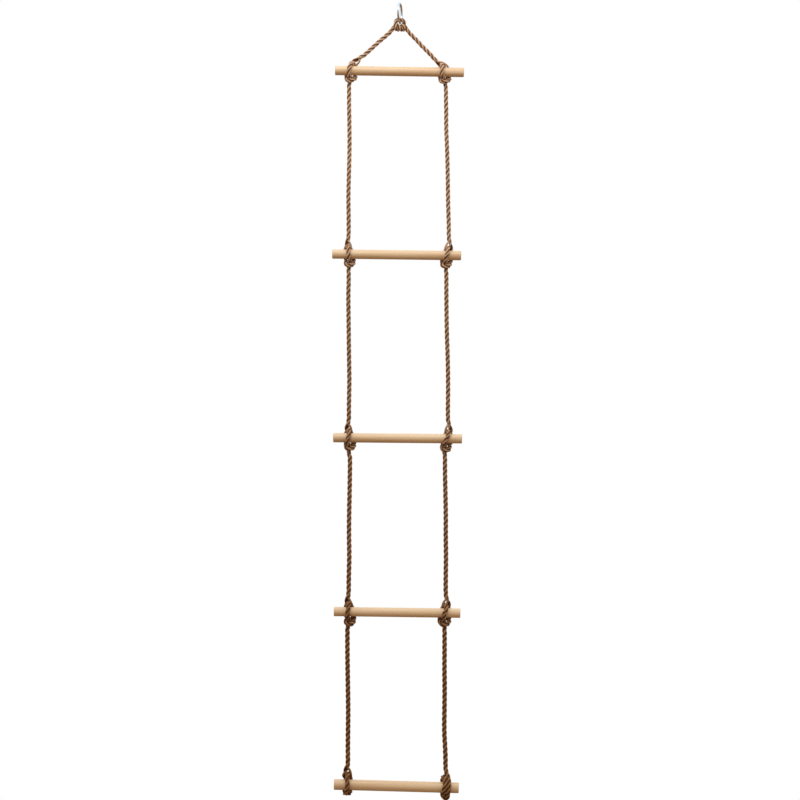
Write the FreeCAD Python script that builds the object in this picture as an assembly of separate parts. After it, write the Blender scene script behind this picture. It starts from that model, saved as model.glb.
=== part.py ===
"""Rope ladder with five wooden rungs, hung from one steel ring.

Millimetres. X runs along the rungs, Y away from the climber, Z up. The origin
is where a hook bears inside the top of the ring, so the ladder hangs below it.

One rope carries everything: it is knotted round the ring at its middle, its two
halves spread as a bridle and go down the two sides, and each half is hitched
round every rung. At a hitch the rope goes down behind the rung, forms a bight
under it, comes up behind the rung again, passes through its own lay above the
rung, crosses the front of the rung and leaves behind the bight.

The rope is stored as the stretches between the places where it bends. A stretch
ends in half a ball on the bending point and the knot beside it stops just short of
that ball, so the stretch can swing to any side without touching the knot.
"""
import FreeCAD, Part
import math
import os

os.makedirs("parts", exist_ok=True)
V = FreeCAD.Vector

# ------------------------------------------------------------------ dimensions
ROPE_D = 10.0          # laid rope, hanging free
KNOT_D = 8.9           # the same rope squeezed in a knot
RUNG_D = 22.0          # rungs 1 to 4
LOW_RUNG_D = 25.0      # the bottom rung is a little thicker
RUNG_ROUND = 1.8       # rounding of the rung ends
RING_WIRE_D = 5.0      # steel ring, wire
RING_INNER_D = 40.0    # steel ring, inside
RING_TURN = 10.5       # degrees that the ring's plane is turned away from YZ
BALL_GAP = 0.3         # clearance between a stretch's ball and the knot's end
ARC_SHARE = 0.45       # an arc uses this share of the shorter of its two runs

# each rung: (x, z) of the axis at the left hitch and at the right hitch, the x
# of its two ends, its diameter
RUNGS = {
    1: ((-118.36, -153.9), (107.41, -157.39), (-151, 149.1), RUNG_D),
    2: ((-119.3, -581.45), (113.94, -584.48), (-157.7, 142.6), RUNG_D),
    3: ((-118.83, -1009.24), (111.84, -1011.34), (-155.6, 144.7), RUNG_D),
    4: ((-119.3, -1414.43), (106.71, -1417.46), (-154, 140.7), RUNG_D),
    5: ((-121.16, -1817.75), (106.25, -1824.04), (-153.8, 137), LOW_RUNG_D),
}

# bending points of the rope: above and below each rung, and under the head knot
BEND = {
    "below_1_left": (-118.36, 0, -209.9),
    "above_2_left": (-119.3, 0, -521.45),
    "below_2_left": (-119.3, 0, -637.45),
    "above_3_left": (-118.83, 0, -949.24),
    "below_3_left": (-116.33, 0, -1065.24),
    "above_4_left": (-119.3, 0, -1354.43),
    "below_4_left": (-122.3, 0, -1470.43),
    "above_5_left": (-121.16, 0, -1757.75),
    "below_1_right": (107.41, 0, -213.39),
    "above_2_right": (113.94, 0, -524.48),
    "below_2_right": (108.34, 0, -640.48),
    "above_3_right": (111.84, 0, -951.34),
    "below_3_right": (105.04, 0, -1067.34),
    "above_4_right": (106.71, 0, -1357.46),
    "below_4_right": (104.11, 0, -1473.46),
    "above_5_right": (106.25, 0, -1764.04),
    "above_1_left": (-73.47, 0, -108.84),
    "head_left": (-28.3, 0, -69),
    "above_1_right": (63.64, 0, -108.61),
    "head_right": (25.4, 0, -69),
}

# route points of the rope in the knots, in order from the head knot downwards
HEAD_ROUTE = [
    (-20.8, 0, -62.4), (-16.2, 2.7, -53.8), (-9.6, 1.9, -48.7), (-3.3, -3.8, -49.5),
    (1.5, -5, -56.4), (6.6, 1.2, -59.7), (10.8, 7.3, -55.9), (12.2, 8.8, -47.7),
    (9.6, 5.6, -40.7), (5, 1.8, -35.5), (-2.9, -1.1, -34.6), (-8.7, -4.6, -38.9),
    (-12, -8.2, -45.4), (-12.2, -7.8, -53.7), (-8.7, -2.3, -59.1), (-3.8, 4.5, -57.6),
    (1.6, 5.4, -51), (7.3, -0.5, -48.5), (14.1, -2.7, -53.1), (18.5, 0, -61.8),
]
HITCH_ROUTE = {
    "1_left": [
        (-82.4, 0, -117.2), (-90.3, 3.2, -122), (-97.2, 6.2, -126), (-104.2, 9.7, -129.7),
        (-109.9, 12.8, -135.4), (-112.8, 14.6, -143.4), (-115.3, 16.2, -151.4), (-118.3, 15.6, -159.6),
        (-121.4, 10.8, -166.2), (-124.1, 4.8, -171.8), (-121.9, -1.7, -177.7), (-113.1, -4.4, -180.1),
        (-105.3, -0.9, -176.8), (-103.6, 5.6, -171), (-103.6, 12, -165.3), (-103.3, 16.3, -157.6),
        (-102.5, 15.7, -148.8), (-101.7, 10.7, -141.5), (-103.9, 2.9, -137.9), (-108.2, -4.8, -138.3),
        (-112.1, -11.5, -142.2), (-115.2, -15.8, -149.2), (-116.9, -16.1, -157.7), (-116.6, -11.8, -165.8),
        (-114.9, -4.3, -169.5), (-113.7, 4.3, -172.1), (-114.5, 6.5, -181.2), (-116.2, 3.7, -189.1),
        (-118.4, 0, -197.9),
    ],
    "1_right": [
        (72, 0, -117), (77.3, 2.4, -123.9), (81.8, 4.7, -130.5), (85.5, 7.8, -137.5),
        (88, 11.7, -144.6), (89.7, 15.6, -151.9), (91.1, 16.3, -160.4), (92, 12.4, -168),
        (92.3, 7, -174.3), (93.9, 1.1, -180.4), (101, -3.4, -183.6), (109.7, -2.6, -180.9),
        (113.1, 3.3, -175.4), (111.5, 10, -170.4), (108.7, 15.1, -164.2), (105.2, 16.4, -156.3),
        (101.4, 14.3, -149), (97.3, 9.3, -143.3), (95.1, 1.5, -140.4), (96.2, -7, -141.8),
        (98, -13.5, -147.2), (98.5, -16.5, -155.3), (98.2, -15.2, -163.6), (99.2, -10, -170.7),
        (101.3, -2.2, -173), (103.2, 5.6, -176.4), (104.9, 6.8, -185.3), (106.1, 3.6, -193),
        (107.4, 0, -201.4),
    ],
    "2_left": [
        (-119.3, 0, -533.5), (-120.4, 3, -542), (-121.4, 5.5, -549.9), (-122.5, 8.3, -557.8),
        (-123.3, 11.3, -565.6), (-123.7, 14.5, -573.3), (-124.1, 16.6, -581.6), (-124.8, 14.1, -589.8),
        (-125.7, 8.8, -596.1), (-125.9, 2.8, -602.3), (-120.6, -2.4, -607.2), (-111.5, -2.9, -606.8),
        (-106.1, 2, -601.9), (-106.6, 8.4, -596.2), (-108.4, 14.1, -590.1), (-110.4, 16.5, -582.1),
        (-112.2, 14.7, -573.9), (-114.3, 9.1, -567.7), (-116.8, 1.3, -565), (-119, -6.8, -566.4),
        (-120.4, -13.4, -571.7), (-120.9, -16.5, -579.8), (-120.4, -15.1, -588.1), (-118.9, -9.8, -595),
        (-116.9, -2, -597.2), (-115.7, 6, -600.7), (-116.1, 7.3, -609.7), (-117.4, 4, -617.3),
        (-119.3, 0, -625.5),
    ],
    "2_right": [
        (113.9, 0, -536.5), (114.8, 3.2, -545), (115.5, 5.8, -553), (116.1, 8.4, -560.9),
        (116.6, 11.3, -568.8), (116.8, 14.5, -576.5), (117, 16.6, -584.8), (117.4, 14.1, -593),
        (117.9, 8.6, -599.4), (117.7, 2.4, -605.3), (112.4, -2.7, -610.1), (103.2, -2.6, -610.1),
        (97.8, 2.4, -605.1), (98.5, 8.6, -599.2), (100.9, 13.8, -593.1), (103.3, 16.5, -585.4),
        (105.3, 14.9, -577.2), (107.4, 9.5, -570.9), (110, 1.9, -568), (112.1, -6.4, -569.2),
        (112.2, -13.2, -574.5), (110.3, -16.4, -582.3), (108.1, -15.4, -590.3), (107.1, -10.4, -597.5),
        (107.4, -2.5, -600.2), (107.8, 5.7, -603.4), (107.9, 7.3, -612.4), (108, 4.1, -620.1),
        (108.3, 0, -628.5),
    ],
    "3_left": [
        (-118.8, 0, -961.2), (-119.7, 3.1, -970.4), (-120.6, 5.6, -978.6), (-121.5, 8.4, -986.7),
        (-122.4, 11.6, -994.7), (-123, 15, -1002.6), (-123.7, 16.6, -1011.3), (-124.7, 12.9, -1019.3),
        (-125.8, 7.1, -1025.5), (-124.9, 0.9, -1031.9), (-117.4, -3.2, -1035.5), (-108.4, -1.4, -1033),
        (-105.7, 4.7, -1027.1), (-107.2, 11.1, -1021.4), (-109, 15.8, -1014.3), (-110.8, 16.1, -1005.5),
        (-112.5, 12, -997.9), (-114.4, 4.7, -993.4), (-116.3, -4, -993.2), (-117.7, -11.6, -997.4),
        (-118.6, -16, -1005.1), (-118.9, -15.9, -1013.8), (-118.2, -11.3, -1021.6), (-116.8, -3.6, -1024.9),
        (-115.7, 5.2, -1027.2), (-115.5, 7.6, -1036.4), (-115.7, 4.3, -1044.4), (-116.3, 0, -1053.2),
    ],
    "3_right": [
        (111.8, 0, -963.3), (112.9, 3.2, -971.9), (113.8, 6, -979.8), (114.6, 8.6, -987.8),
        (115.1, 11.4, -995.7), (115.4, 14.6, -1003.5), (115.6, 16.6, -1011.8), (116.1, 14, -1020),
        (116.8, 8.8, -1026.6), (116.8, 2.9, -1032.8), (111.7, -2.4, -1037.6), (102.5, -2.9, -1037.5),
        (96.8, 1.9, -1032.6), (97.4, 8.1, -1026.5), (99.7, 13.5, -1020.6), (101.9, 16.5, -1012.9),
        (103.8, 15.1, -1004.6), (105.9, 9.9, -998.1), (108.4, 2.4, -995), (110.6, -5.9, -995.9),
        (110.8, -12.9, -1001), (108.9, -16.4, -1008.7), (106.7, -15.6, -1016.8), (105.8, -10.7, -1024.1),
        (106.4, -2.9, -1027.2), (106.8, 5.2, -1030.5), (106.3, 7.5, -1039.2), (105.6, 4.4, -1047.1),
        (105, 0, -1055.3),
    ],
    "4_left": [
        (-119.3, 0, -1366.4), (-120, 3.4, -1375.1), (-120.6, 6.4, -1382.9), (-121.4, 9.1, -1390.9),
        (-122.2, 11.9, -1398.8), (-122.8, 14.8, -1406.7), (-123.4, 16.5, -1415.1), (-124.3, 13.9, -1423.2),
        (-125.5, 8.7, -1429.8), (-125.8, 2.9, -1436.2), (-120.5, -2.2, -1441.2), (-111.2, -2.5, -1441.3),
        (-105.6, 2.3, -1436.3), (-106, 8.3, -1430.1), (-108, 13.6, -1423.8), (-110, 16.5, -1415.9),
        (-111.6, 15, -1407.5), (-113.3, 9.5, -1401), (-115, 1.6, -1398), (-116.3, -6.8, -1399.4),
        (-117.6, -13.5, -1404.8), (-119.4, -16.5, -1412.7), (-120.4, -15.2, -1421.1), (-119.3, -9.7, -1427.9),
        (-117, -2.1, -1430.7), (-115.3, 5.7, -1434.6), (-116.4, 7.8, -1443.3), (-119.1, 4.5, -1450.6),
        (-122.3, 0, -1458.4),
    ],
    "4_right": [
        (106.7, 0, -1369.5), (108.2, 3, -1378.1), (109.5, 5.6, -1386), (110.6, 8.2, -1393.9),
        (111.4, 11.1, -1401.8), (111.6, 14.5, -1409.5), (111.9, 16.6, -1417.8), (112.5, 14.1, -1426),
        (113.4, 8.8, -1432.5), (113.3, 2.8, -1438.7), (108, -2.2, -1443.5), (98.8, -2.2, -1443.5),
        (93.3, 2.8, -1438.4), (94, 8.8, -1432.2), (96.1, 13.9, -1426), (98.2, 16.5, -1418.1),
        (100, 14.7, -1409.9), (102.1, 9.2, -1403.7), (105, 1.6, -1401), (107.4, -6.6, -1402.3),
        (107.4, -13.4, -1407.7), (105.2, -16.5, -1415.4), (103, -15.4, -1423.5), (102.2, -10.2, -1430.6),
        (102.8, -2.3, -1433.3), (103.4, 5.8, -1436.6), (103.6, 7.9, -1445.5), (103.7, 4.5, -1453.2),
        (104.1, 0, -1461.4),
    ],
    "5_left": [
        (-121.2, 0, -1769.7), (-122.4, 1.6, -1779.3), (-123.6, 3.6, -1787.6), (-124.6, 6.9, -1795.5),
        (-125.3, 11.5, -1802.8), (-125.9, 16.2, -1810.1), (-127.1, 18.2, -1818.6), (-129.2, 15.5, -1826.8),
        (-130.6, 9.3, -1832.8), (-129.5, 1.7, -1837.2), (-123.9, -3.7, -1842.1), (-115.4, -1.4, -1845.9),
        (-109.7, 5, -1842.7), (-109.5, 10.5, -1835.6), (-110.3, 14.9, -1828.3), (-111.3, 17.9, -1820),
        (-112.7, 16.8, -1811.3), (-114.5, 11.7, -1804.2), (-116.5, 4, -1800.3), (-118.2, -4.6, -1800.4),
        (-119.8, -12.4, -1804.3), (-121.5, -17.6, -1811.2), (-122.3, -18.4, -1820.1), (-120.5, -15.2, -1828.1),
        (-117, -9.1, -1834), (-116, -0.4, -1835.1), (-120.2, 7, -1838.8), (-123.7, 6, -1847.6),
        (-130.5, 2.7, -1850.8),
    ],
    "5_right": [
        (106.2, 0, -1776), (107.6, 2, -1785.3), (109, 4.4, -1793.5), (110.1, 7.8, -1801.3),
        (110.7, 11.8, -1808.9), (111.2, 16.1, -1816.4), (112.1, 18.1, -1824.8), (113.3, 15.6, -1833.3),
        (114, 9.6, -1839.4), (113, 2.4, -1844), (108.3, -3.8, -1848.4), (99.6, -3.3, -1851.4),
        (93.1, 2.6, -1848.7), (92.9, 8.7, -1842.2), (94.5, 13.7, -1835.5), (96.1, 17.5, -1827.9),
        (97.7, 17.5, -1819.3), (99.6, 13.4, -1811.9), (102, 6.5, -1807.2), (104.7, -1.7, -1806.1),
        (106.8, -9.8, -1808.9), (107.1, -15.8, -1815.3), (105.6, -18.1, -1823.7), (102.9, -16.4, -1831.6),
        (100.4, -11.2, -1838.4), (99.5, -3, -1841), (102.6, 5.1, -1843.5), (104.9, 6.3, -1853),
        (110.5, 2.9, -1858.1),
    ],
}

# route points of the free stretches
STRETCH_ROUTE = {
    "bridle_left": [
        (-35.8, 0, -75.6), (-45.8, 0.4, -83.8), (-56.5, -0.5, -93.5), (-66, 0, -102.2),
    ],
    "bridle_right": [
        (32.3, 0, -76.2), (40.2, 0.4, -83.8), (48.9, -0.5, -93.8), (56.7, 0, -101.4),
    ],
    "1_left": [
        (-118.4, 0, -221.9), (-118.3, 0, -243.9), (-117.5, 0.3, -281.9), (-117.2, -0.2, -337.7),
        (-118.7, -0.8, -393.6), (-120.2, -0.4, -449.5), (-119.4, -0.5, -487.5), (-119.3, 0, -509.5),
    ],
    "1_right": [
        (107.4, 0, -225.4), (108.1, 0.1, -247.4), (107.7, -0.2, -285.4), (110.2, -2.3, -341.1),
        (111.5, -0.5, -396.8), (112.1, -0, -452.5), (113.2, 0.1, -490.5), (113.9, 0, -512.5),
    ],
    "2_left": [
        (-119.3, 0, -649.5), (-120.2, 0, -671.5), (-119.9, 1.2, -709.5), (-119.2, -0.4, -765.4),
        (-118.5, -0.6, -821.3), (-117.6, 0.4, -877.2), (-118.4, 0.2, -915.2), (-118.8, 0, -937.2),
    ],
    "2_right": [
        (108.3, 0, -652.5), (108.3, -0.8, -674.5), (108.6, -0.4, -712.5), (109.4, -0.9, -768.1),
        (111.5, -0.7, -823.7), (112.4, 1, -879.3), (112.1, -0.4, -917.3), (111.8, 0, -939.3),
    ],
    "3_left": [
        (-116.3, 0, -1077.2), (-116.7, 0.1, -1099.2), (-117.2, -0.8, -1137.2), (-118.3, -0, -1185.6),
        (-118.8, 0.6, -1234), (-117.7, -1.2, -1282.4), (-118.7, -0.2, -1320.4), (-119.3, 0, -1342.4),
    ],
    "3_right": [
        (105, 0, -1079.3), (105.2, -0, -1101.3), (106.1, 0.8, -1139.3), (107, -0.5, -1188),
        (106.7, -0.1, -1236.7), (107.5, 0.1, -1285.5), (106.9, 0, -1323.5), (106.7, 0, -1345.5),
    ],
    "4_left": [
        (-122.3, 0, -1482.4), (-122.3, -1, -1504.4), (-121.9, -1.2, -1542.4), (-121.1, -1.7, -1590.2),
        (-120.4, -0.2, -1638), (-120.8, -1.1, -1685.7), (-121.3, 0.1, -1723.7), (-121.2, 0, -1745.7),
    ],
    "4_right": [
        (104.1, 0, -1485.5), (104, -0.6, -1507.5), (103.7, 0.1, -1545.5), (104.4, 1.2, -1594.3),
        (103.8, -1.4, -1643.2), (103.1, 0.8, -1692), (105.3, 0.1, -1730), (106.2, 0, -1752),
    ],
}


# ------------------------------------------------------------------ tube maker
def tube(name, points, diameter, straight_ends=True):
    """A round tube along straight runs joined by tangent arcs."""
    pts = [V(*p) for p in points]
    radii, edges, length = [], [], 0.0
    here = pts[0]
    for i in range(1, len(pts) - 1):
        a, b, c = pts[i - 1], pts[i], pts[i + 1]
        u, w = (a - b), (c - b)
        la, lc = u.Length, w.Length
        u.normalize()
        w.normalize()
        half = 0.5 * (math.pi - math.acos(max(-1.0, min(1.0, u.dot(w)))))
        cut = ARC_SHARE * min(la, lc)
        radius = cut / math.tan(half)
        radii.append(radius)
        p0, p1 = b + u * cut, b + w * cut
        mid_dir = (u + w)
        mid_dir.normalize()
        reach = radius / math.cos(half) - radius
        pm = b + mid_dir * reach
        edges.append(Part.LineSegment(here, p0).toShape())
        edges.append(Part.Arc(p0, pm, p1).toShape())
        length += (p0 - here).Length + radius * 2 * half
        here = p1
    edges.append(Part.LineSegment(here, pts[-1]).toShape())
    length += (pts[-1] - here).Length
    path = Part.Wire(edges)
    start = pts[1] - pts[0]
    section = Part.Wire([Part.Circle(pts[0], start, diameter / 2).toShape()])
    sweep = Part.BRepOffsetAPI.MakePipeShell(path)
    sweep.setFrenetMode(False)
    sweep.add(section)
    sweep.build()
    sweep.makeSolid()
    solid = sweep.shape()
    if solid.Volume < 0:
        solid.reverse()
    want = math.pi * diameter ** 2 / 4 * length
    print("%-22s length %7.1f  smallest arc %7.2f  largest %9.1f  volume/section*length %.4f  valid %s"
          % (name, length, min(radii), max(radii), solid.Volume / want, solid.isValid()))
    return solid


def towards(a, b, distance):
    """The point at this distance from a on the way to b."""
    d = V(*b) - V(*a)
    d.normalize()
    p = V(*a) + d * distance
    return (p.x, p.y, p.z)


def half_ball(at, inner, diameter):
    """The round end of a stretch: half a ball on its bending point."""
    out = V(*at) - V(*inner)
    return Part.makeSphere(diameter / 2, V(*at), out, 0, 90, 360)


def save(name, shape):
    if shape.ShapeType == "Compound" and len(shape.Solids) == 1:
        shape = shape.Solids[0]
    assert shape.isValid() and len(shape.Solids) == 1, name
    shape.exportStep("parts/%s.step" % name)
    print("saved %-22s volume %.0f" % (name, shape.Volume))


# ------------------------------------------------------------------- the pieces
# steel ring: its lowest point carries the rope, its highest hangs on the hook
ring_r = (RING_INNER_D + RING_WIRE_D) / 2
ring_centre = V(0, 0, -RING_INNER_D / 2)
turn = math.radians(RING_TURN)
ring = Part.makeTorus(ring_r, RING_WIRE_D / 2, ring_centre, V(math.cos(turn), -math.sin(turn), 0))
save("hanging_ring", ring)

gap = ROPE_D / 2 + BALL_GAP

# head knot, from the left bridle leg to the right one
left, right = BEND["head_left"], BEND["head_right"]
route = [towards(left, HEAD_ROUTE[0], gap)] + HEAD_ROUTE + [towards(right, HEAD_ROUTE[-1], gap)]
save("head_knot", tube("head_knot", route, KNOT_D))

# free stretches: two bridle legs and four pairs between the rungs
def stretch(name, start, route, end):
    body = tube(name, [start] + route + [end], ROPE_D)
    body = body.fuse([half_ball(start, route[0], ROPE_D), half_ball(end, route[-1], ROPE_D)])
    save(name, body)


for side in ("left", "right"):
    stretch("bridle_leg_" + side, BEND["head_" + side], STRETCH_ROUTE["bridle_" + side], BEND["above_1_" + side])
    for n in range(1, 5):
        key = "%d_%s" % (n, side)
        stretch("side_rope_" + key, BEND["below_" + key], STRETCH_ROUTE[key], BEND["above_%d_%s" % (n + 1, side)])

# hitches: one at each end of each rung
for n in range(1, 6):
    for side in ("left", "right"):
        key = "%d_%s" % (n, side)
        pts = HITCH_ROUTE[key]
        route = [towards(BEND["above_" + key], pts[0], gap)] + pts
        if n < 5:
            route.append(towards(BEND["below_" + key], pts[-1], gap))
        save("hitch_" + key, tube("hitch_" + key, route, KNOT_D))

# rungs: round dowels with rounded ends
for n, ((xl, zl), (xr, zr), (x0, x1), dia) in RUNGS.items():
    slope = (zr - zl) / (xr - xl)
    a = V(x0, 0, zl + slope * (x0 - xl))
    b = V(x1, 0, zl + slope * (x1 - xl))
    axis = b - a
    rung = Part.makeCylinder(dia / 2, axis.Length, a, axis)
    rims = [e for e in rung.Edges if isinstance(e.Curve, Part.Circle)]
    rung = rung.makeFillet(RUNG_ROUND, rims)
    print("rung %d length %.1f diameter %.1f" % (n, axis.Length, dia))
    save("rung_%d" % n, rung)
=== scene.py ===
"""Looks of the rope ladder: the laid rope with its knots, the wooden rungs and the ring."""
import math
import random

import bpy
import numpy as np
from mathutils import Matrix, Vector


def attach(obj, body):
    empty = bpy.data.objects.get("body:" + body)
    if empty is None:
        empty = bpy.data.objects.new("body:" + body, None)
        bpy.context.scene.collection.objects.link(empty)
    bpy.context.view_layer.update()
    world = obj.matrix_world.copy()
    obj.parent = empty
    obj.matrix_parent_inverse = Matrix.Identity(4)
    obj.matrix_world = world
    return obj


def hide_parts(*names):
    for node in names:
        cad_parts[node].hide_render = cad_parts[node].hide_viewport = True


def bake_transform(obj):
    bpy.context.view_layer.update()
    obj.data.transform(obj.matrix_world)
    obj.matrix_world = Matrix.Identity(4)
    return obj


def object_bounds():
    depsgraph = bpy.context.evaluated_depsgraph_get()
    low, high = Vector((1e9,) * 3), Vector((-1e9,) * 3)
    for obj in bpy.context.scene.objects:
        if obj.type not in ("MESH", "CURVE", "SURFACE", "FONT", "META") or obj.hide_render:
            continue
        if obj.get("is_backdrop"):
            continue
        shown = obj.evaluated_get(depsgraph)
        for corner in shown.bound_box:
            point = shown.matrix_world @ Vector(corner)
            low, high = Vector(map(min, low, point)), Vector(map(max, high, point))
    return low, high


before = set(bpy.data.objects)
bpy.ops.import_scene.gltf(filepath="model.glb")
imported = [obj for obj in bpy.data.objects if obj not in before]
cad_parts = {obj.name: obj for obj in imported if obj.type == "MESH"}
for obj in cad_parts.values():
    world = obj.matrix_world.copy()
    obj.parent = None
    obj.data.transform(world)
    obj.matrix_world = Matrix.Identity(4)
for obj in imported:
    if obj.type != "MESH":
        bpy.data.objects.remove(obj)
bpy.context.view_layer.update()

scene = bpy.context.scene
random.seed(11)

# --------------------------------------------------------------------- camera
camera = bpy.data.cameras.new("camera")
camera.lens = 135.0
camera.sensor_width = 36.0
camera.clip_end = 60.0
camera_object = bpy.data.objects.new("camera", camera)
WIDE = 1.864                                    # metres across the picture at the ladder
AWAY = WIDE * camera.lens / camera.sensor_width
camera_object.location = (0.0002, -AWAY, -0.9212)
camera_object.rotation_euler = (math.radians(90), 0, 0)
scene.collection.objects.link(camera_object)
scene.camera = camera_object

# ------------------------------------------------------------- the rope's line
# Route points in metres, from the head knot downwards.
HEAD = [
    (-0.0208, 0, -0.0624), (-0.019, 0.001, -0.0591), (-0.0146, 0.0026, -0.0529), (-0.0077, 0.0017, -0.0487), (-0.0021, -0.0048, -0.05),
    (0.0021, -0.0045, -0.0572), (0.0062, 0.0024, -0.0597), (0.0099, 0.0083, -0.055), (0.0098, 0.0093, -0.047), (0.0101, 0.0043, -0.0404),
    (0.005, 0.002, -0.0349), (-0.0024, -0.0013, -0.0341), (-0.0092, -0.0033, -0.038), (-0.01, -0.0079, -0.0447), (-0.0106, -0.0091, -0.0524),
    (-0.0082, -0.0038, -0.0586), (-0.0042, 0.0033, -0.0585), (0.0004, 0.0063, -0.0518), (0.0055, 0.0003, -0.0485), (0.0123, -0.0024, -0.0521),
    (0.0169, -0.0009, -0.0585), (0.0185, 0, -0.0618),
]
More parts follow.
